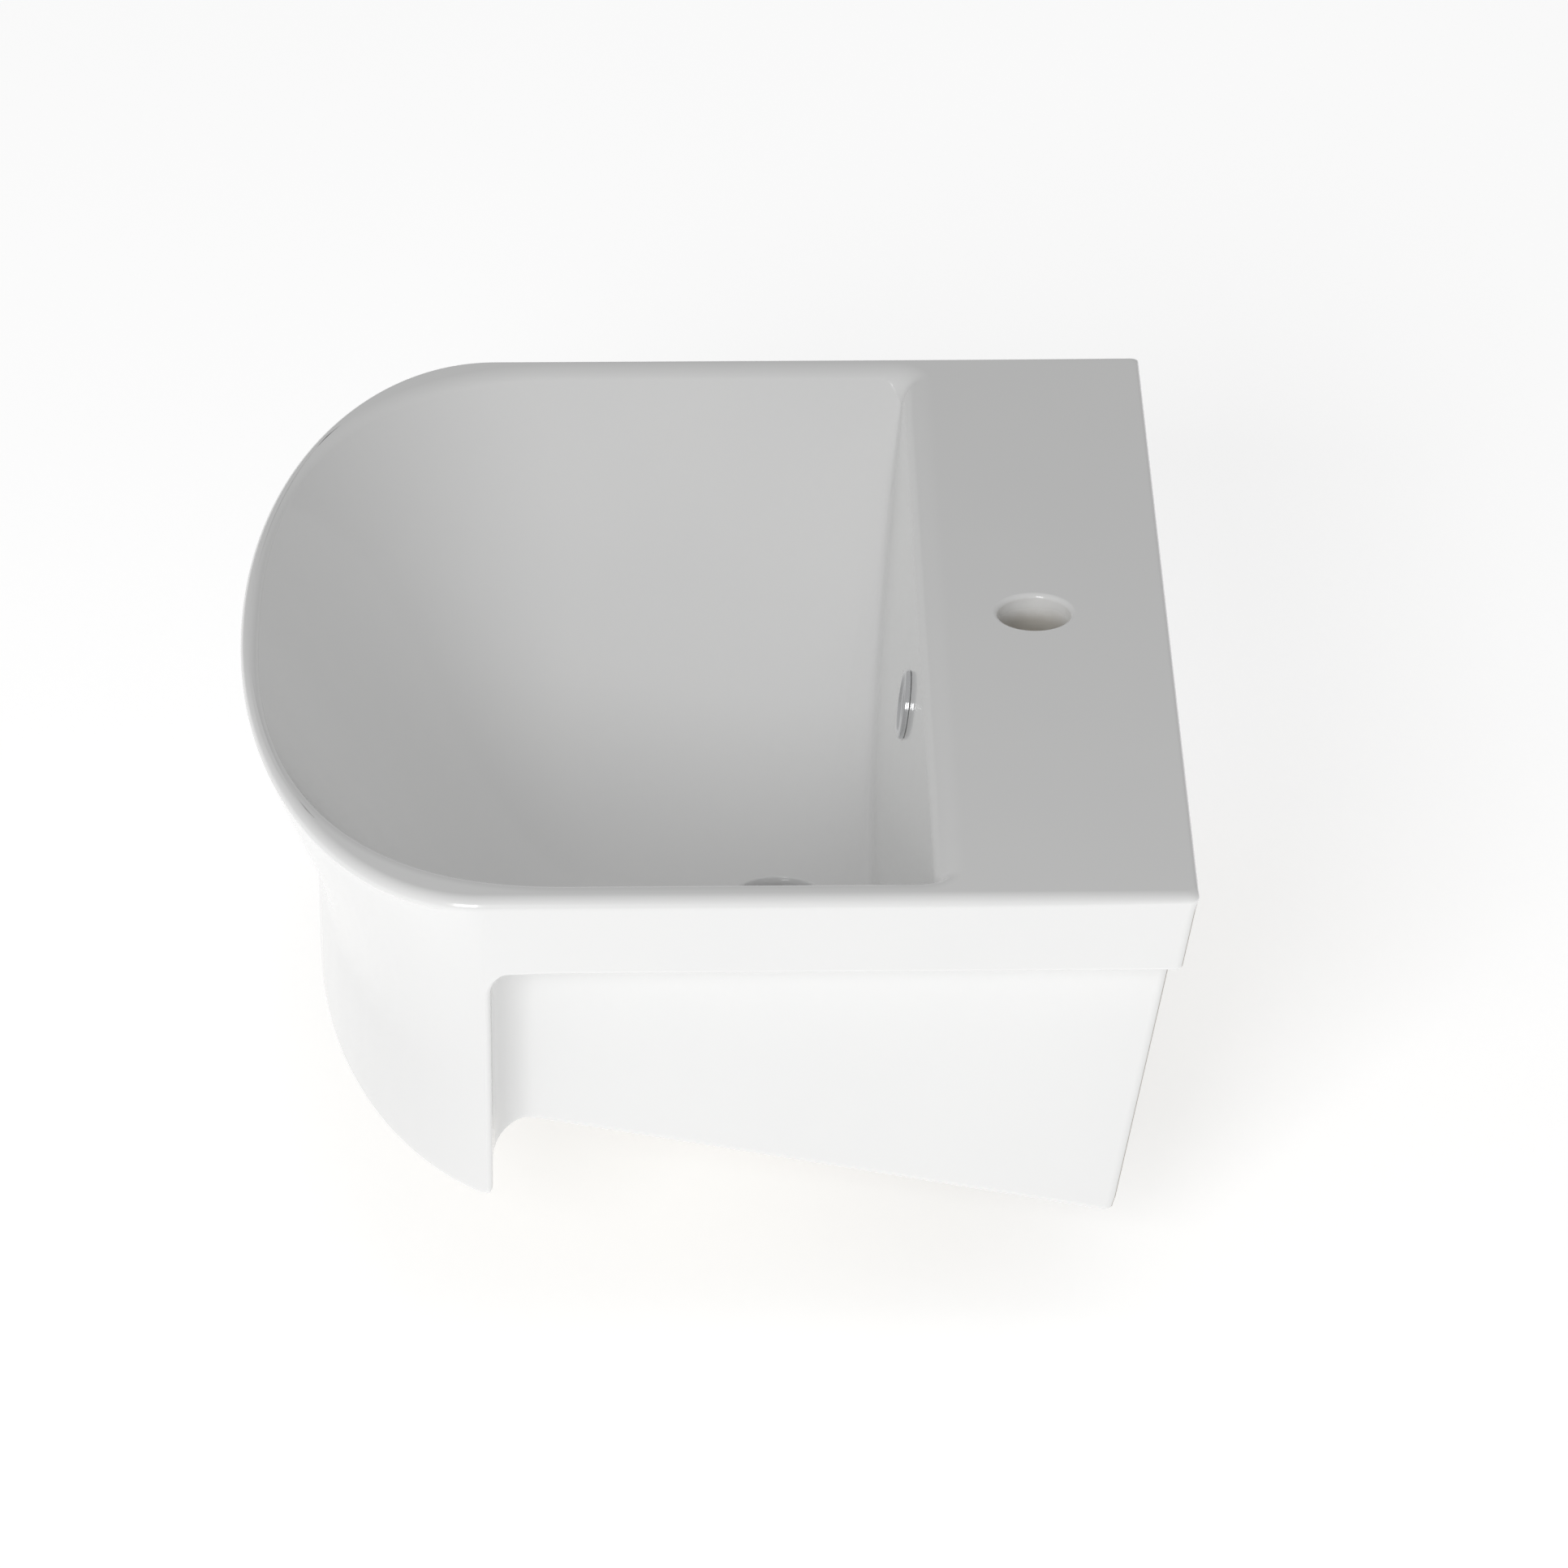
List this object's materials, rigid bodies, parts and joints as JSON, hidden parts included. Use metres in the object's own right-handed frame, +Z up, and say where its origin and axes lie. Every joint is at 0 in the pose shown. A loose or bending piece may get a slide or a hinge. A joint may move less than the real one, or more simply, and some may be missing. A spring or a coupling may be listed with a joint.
{
  "type": "semi-recessed washbasin",
  "caption": "Semi-recessed ceramic washbasin with a D-shaped bowl, flat tap deck, front apron, chrome overflow ring and a push-open waste.",
  "frame": {"origin": "centre of the basin's width, on the wall line at the back of the rim, in the plane of the ledge that rests on the worktop", "axes": "+Z up, +Y towards the wall, +X to the right of someone who looks at the wall; the bowl and the apron face -Y"},
  "size_m": [0.55, 0.44, 0.249],
  "materials": {
    "vitreous_china": "glossy white glaze",
    "chrome_plate": "polished",
    "cast_brass": "turned",
    "black_rubber": "matt moulded",
    "white_plastic": "moulded",
    "stainless": "turned"
  },
  "bodies": {
    "basin": {"basin_body": "vitreous_china", "overflow_ring": "chrome_plate", "overflow_sleeve": "white_plastic", "waste_body": "chrome_plate", "flange_gasket": "black_rubber", "spider_insert": "cast_brass", "cone_gasket": "black_rubber", "slip_washer": "white_plastic", "back_nut": "cast_brass", "click_barrel": "cast_brass", "barrel_cap": "stainless", "barrel_nut": "cast_brass", "click_spring": "stainless"},
    "plug": {"plug_cap": "chrome_plate", "plug_seal": "black_rubber", "stem_locknut": "cast_brass", "click_plunger": "stainless"},
    "rotor": {"click_rotor": "white_plastic"}
  },
  "joints": [
    {"name": "plug_slide", "type": "slide", "parent": "basin", "child": "plug", "axis": [0, 0, 1], "range_m": [0, 0.009], "deforming": ["click_spring"]},
    {"name": "rotor_turn", "type": "hinge", "parent": "plug", "child": "rotor", "pos_m": [0, -0.185, -0.1585], "axis": [0, 0, 1], "range_deg": [0, 45]}
  ],
  "couplings": [
    {"joint": "rotor_turn", "follows": "plug_slide", "rad_per_m": 87.266}
  ]
}
